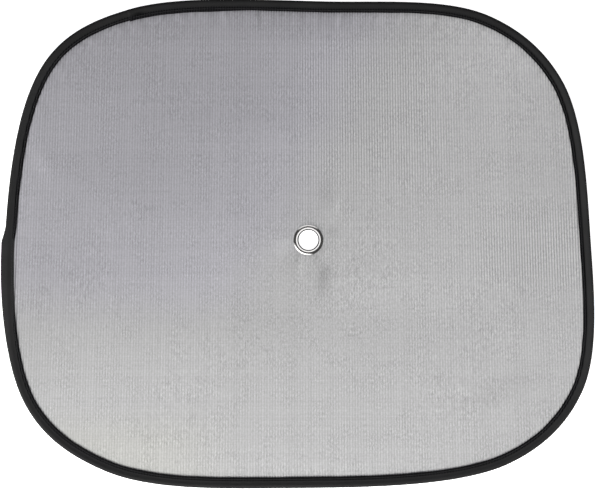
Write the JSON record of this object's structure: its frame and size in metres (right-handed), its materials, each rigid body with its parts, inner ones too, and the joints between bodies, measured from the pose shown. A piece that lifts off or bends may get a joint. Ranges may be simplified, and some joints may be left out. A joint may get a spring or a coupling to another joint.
{
  "type": "mesh sunshade",
  "caption": "Flat springy sunshade for a car's side window: a ribbed mesh sheet in a tape-bound wire rim, with a metal eyelet for a suction cup.",
  "frame": {"origin": "on the plane that the shade lies on, under the middle of its outline's box", "axes": "+X to the right and +Y up as the shade is seen from the front, +Z out of its front"},
  "size_m": [0.44, 0.3626, 0.0039],
  "materials": {
    "silver_mesh": "ribbed knitted mesh, silver grey with a faint sheen",
    "black_tape": "woven black binding tape, matt",
    "black_thread": "twisted black sewing thread",
    "spring_wire": "drawn spring steel",
    "joint_sleeve": "crimped mild steel tube",
    "plated_metal": "bright nickel plate"
  },
  "bodies": {
    "root": {"mesh_panel": "silver_mesh", "frame_wire": "spring_wire", "wire_sleeve": "joint_sleeve", "edge_binding": "black_tape", "needle_thread": "black_thread", "bobbin_thread": "black_thread", "eyelet": "plated_metal", "eyelet_washer": "plated_metal"}
  },
  "joints": []
}
